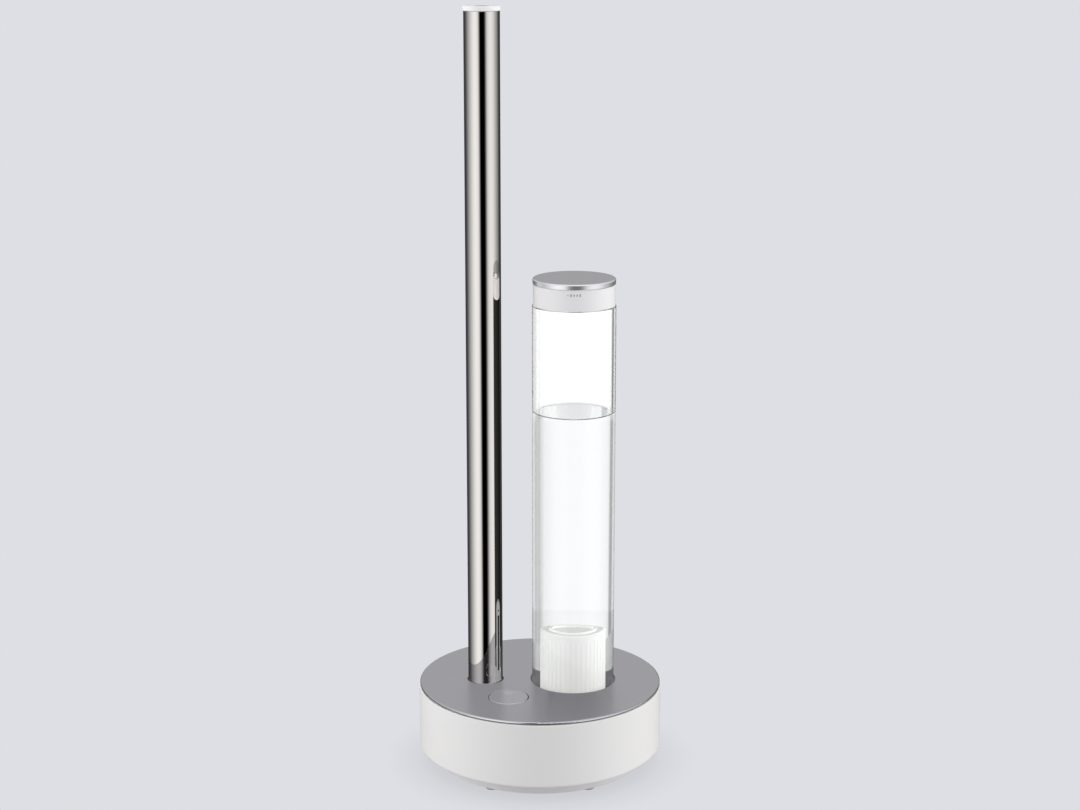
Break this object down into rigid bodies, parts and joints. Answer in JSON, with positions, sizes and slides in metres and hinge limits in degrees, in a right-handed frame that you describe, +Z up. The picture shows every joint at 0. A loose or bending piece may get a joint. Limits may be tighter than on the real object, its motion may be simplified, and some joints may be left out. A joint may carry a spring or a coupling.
{
  "type": "tower humidifier",
  "caption": "Tower mist humidifier: a low round base with a metal top disc, a tall polished mist pipe and a tall clear removable water tank.",
  "frame": {"origin": "centre of the round base on the surface that it stands on", "axes": "+Z up along the base's axis, -Y to the front where the power button is, +X from the mist pipe towards the water tank"},
  "size_m": [0.27, 0.27, 0.835],
  "materials": {
    "pad_rubber": "matt grey",
    "foot_plastic": "satin light grey",
    "shell_white": "satin white",
    "deck_plastic": "matt dark grey",
    "disc_aluminium": "satin anodised",
    "lid_aluminium": "satin anodised with a polished edge",
    "pipe_chrome": "mirror polished",
    "inner_plastic": "matt white",
    "nozzle_white": "gloss white",
    "button_aluminium": "satin anodised, like the disc",
    "lamp_white": "translucent white inlay",
    "seal_silicone": "translucent white silicone",
    "ultrasonic_steel": "plain",
    "clamp_plastic": "matt black",
    "screw_steel": "plated",
    "board_green": "solder mask",
    "component_black": "moulded black",
    "heat_sink_aluminium": "extruded",
    "lead_pvc": "black cable sheath",
    "impeller_black": "matt black",
    "filter_foam": "open-cell foam",
    "spring_steel": "bright wire",
    "switch_plunger_plastic": "black",
    "float_white": "foamed white",
    "tank_clear": "clear polished acrylic",
    "tank_white": "satin white",
    "cartridge_white": "white",
    "cartridge_resin": "amber beads",
    "valve_plastic": "white"
  },
  "bodies": {
    "base": {"basin_gasket": "seal_silicone", "board_lead": "lead_pvc", "board_screws": "screw_steel", "bottom_plate": "shell_white", "clamp_screws": "screw_steel", "deck_screws": "screw_steel", "driver_board": "board_green", "driver_components": "component_black", "drum_shell": "shell_white", "fan_cover": "clamp_plastic", "fan_duct": "clamp_plastic", "fan_housing": "clamp_plastic", "fan_lead": "lead_pvc", "fan_motor": "clamp_plastic", "foot_pads": "pad_rubber", "foot_ring": "foot_plastic", "heat_sink": "heat_sink_aluminium", "housing_screws": "screw_steel", "inlet_lead": "lead_pvc", "level_post": "inner_plastic", "pipe_socket": "deck_plastic", "plate_clamp": "clamp_plastic", "plate_seal": "seal_silicone", "power_board": "board_green", "power_components": "component_black", "power_inlet": "component_black", "switch_board": "board_green", "tact_switch": "component_black", "tank_seat_ring": "seal_silicone", "top_deck": "deck_plastic", "top_disc": "disc_aluminium", "ultrasonic_plate": "ultrasonic_steel", "valve_lifter": "inner_plastic", "water_basin": "inner_plastic"},
    "tank": {"tank_tube": "tank_clear", "tank_base": "tank_white", "tank_base_seal": "seal_silicone", "cartridge_case": "cartridge_white", "cartridge_cap": "cartridge_white", "cartridge_resin": "cartridge_resin"},
    "valve": {"valve_plunger": "valve_plastic", "valve_seal": "seal_silicone", "valve_spring": "spring_steel"},
    "lid": {"lid_disc": "lid_aluminium", "lid_skirt": "tank_white", "lid_gasket": "seal_silicone"},
    "pipe": {"mist_pipe": "pipe_chrome", "pipe_liner": "inner_plastic", "pipe_foot": "deck_plastic", "pipe_seal": "seal_silicone"},
    "nozzle": {"mist_nozzle": "nozzle_white"},
    "button": {"power_button": "button_aluminium", "button_symbol": "lamp_white", "button_spring": "spring_steel", "switch_plunger": "switch_plunger_plastic"},
    "fan": {"fan_impeller": "impeller_black", "fan_shaft": "screw_steel"},
    "float": {"level_float": "float_white"},
    "intake": {"intake_cover": "shell_white", "air_filter": "filter_foam"}
  },
  "joints": [
    {"name": "tank_lift", "type": "slide", "parent": "base", "child": "tank", "axis": [0, 0, 1], "range_m": [0, 0.09]},
    {"name": "valve_close", "type": "slide", "parent": "tank", "child": "valve", "axis": [0, 0, 1], "range_m": [-0.0023, 0], "deforming": ["valve_spring"]},
    {"name": "lid_lift", "type": "slide", "parent": "tank", "child": "lid", "axis": [0, 0, 1], "range_m": [0, 0.06]},
    {"name": "pipe_lift", "type": "slide", "parent": "base", "child": "pipe", "axis": [0, 0, 1], "range_m": [0, 0.07]},
    {"name": "nozzle_turn", "type": "hinge", "parent": "pipe", "child": "nozzle", "pos_m": [-0.061, 0, 0.83], "axis": [0, 0, 1], "continuous": true},
    {"name": "button_press", "type": "slide", "parent": "base", "child": "button", "axis": [0, 0, -1], "range_m": [0, 0.0012], "stiffness_N_per_m": 800, "springref_m": -0.001, "deforming": ["button_spring"]},
    {"name": "fan_spin", "type": "hinge", "parent": "base", "child": "fan", "pos_m": [0, 0.1, 0.053], "axis": [0, 1, 0], "continuous": true},
    {"name": "float_rise", "type": "slide", "parent": "base", "child": "float", "axis": [0, 0, 1], "range_m": [0, 0.008]},
    {"name": "intake_pull", "type": "slide", "parent": "base", "child": "intake", "axis": [0, 1, 0], "range_m": [0, 0.03]}
  ],
  "couplings": [
    {"joint": "valve_close", "follows": "tank_lift", "ratio": -0.0255}
  ]
}
